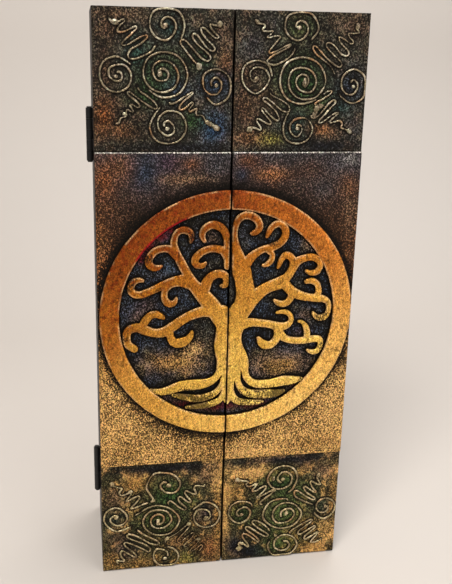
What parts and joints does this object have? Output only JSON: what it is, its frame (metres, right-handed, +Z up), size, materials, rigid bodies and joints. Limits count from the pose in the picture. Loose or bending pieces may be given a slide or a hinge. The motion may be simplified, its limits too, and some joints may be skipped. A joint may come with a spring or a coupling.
{
  "type": "relief cabinet",
  "caption": "Tall narrow cabinet whose paired hinged doors carry a painted clay relief: a tree in a ring, over and under tiles of coiled clay cords; shelves behind.",
  "frame": {"origin": "middle of the base, on the surface the cabinet stands on", "axes": "+X to the right as seen from the front, +Y from the doors to the back, +Z up"},
  "size_m": [0.2102, 0.1, 0.45],
  "materials": {
    "inner_wood": "matt, oiled",
    "black_stained_wood": "matt black stain, worn at its edges",
    "door_wood": "dark stain, matt",
    "panel_clay": "black clay stippled with gold and copper paint, satin",
    "top_tile_clay": "black clay stippled with blue, green and copper paint, satin",
    "bottom_tile_clay": "black clay stippled with ochre gold paint, satin",
    "ring_clay": "black clay dry-brushed with copper and pale gold, satin",
    "tree_clay": "black clay dry-brushed with copper and pale gold, satin",
    "cord_clay": "black clay dry-brushed with pale gold, satin",
    "hinge_steel": "black, satin",
    "pin_steel": "black, satin",
    "black_screw_steel": "black, satin",
    "catch_plastic": "off-white, matt",
    "magnet_steel": "satin",
    "plain_screw_steel": "zinc, satin",
    "strike_steel": "satin"
  },
  "bodies": {
    "cabinet": {"back_panel": "inner_wood", "left_side": "black_stained_wood", "right_side": "black_stained_wood", "top_board": "black_stained_wood", "bottom_board": "black_stained_wood", "upper_shelf": "inner_wood", "lower_shelf": "inner_wood", "upper_left_frame_leaf": "hinge_steel", "upper_left_hinge_pin": "pin_steel", "lower_left_frame_leaf": "hinge_steel", "lower_left_hinge_pin": "pin_steel", "upper_right_frame_leaf": "hinge_steel", "upper_right_hinge_pin": "pin_steel", "lower_right_frame_leaf": "hinge_steel", "lower_right_hinge_pin": "pin_steel", "frame_hinge_screws": "black_screw_steel", "catch_body": "catch_plastic", "catch_magnets": "magnet_steel", "catch_screws": "plain_screw_steel"},
    "left_door": {"left_door_board": "door_wood", "left_centre_panel": "panel_clay", "top_left_tile": "top_tile_clay", "bottom_left_tile": "bottom_tile_clay", "left_ring_half": "ring_clay", "left_tree_half": "tree_clay", "top_left_centre_spiral": "cord_clay", "top_left_outer_spirals": "cord_clay", "top_left_squiggles": "cord_clay", "bottom_left_centre_spiral": "cord_clay", "bottom_left_outer_spirals": "cord_clay", "bottom_left_squiggles": "cord_clay", "upper_left_door_leaf": "hinge_steel", "lower_left_door_leaf": "hinge_steel", "left_door_hinge_screws": "black_screw_steel", "left_strike_plate": "strike_steel", "left_strike_screw": "plain_screw_steel"},
    "right_door": {"right_door_board": "door_wood", "right_centre_panel": "panel_clay", "top_right_tile": "top_tile_clay", "bottom_right_tile": "bottom_tile_clay", "right_ring_half": "ring_clay", "right_tree_half": "tree_clay", "top_right_centre_spiral": "cord_clay", "top_right_outer_spirals": "cord_clay", "top_right_squiggles": "cord_clay", "bottom_right_centre_spiral": "cord_clay", "bottom_right_outer_spirals": "cord_clay", "bottom_right_squiggles": "cord_clay", "upper_right_door_leaf": "hinge_steel", "lower_right_door_leaf": "hinge_steel", "right_door_hinge_screws": "black_screw_steel", "right_strike_plate": "strike_steel", "right_strike_screw": "plain_screw_steel"}
  },
  "joints": [
    {"name": "left_door_hinge", "type": "hinge", "parent": "cabinet", "child": "left_door", "pos_m": [-0.1027, -0.0302, 0.225], "axis": [0, 0, -1], "range_deg": [0, 180]},
    {"name": "right_door_hinge", "type": "hinge", "parent": "cabinet", "child": "right_door", "pos_m": [0.1027, -0.0302, 0.225], "axis": [0, 0, 1], "range_deg": [0, 180]}
  ]
}
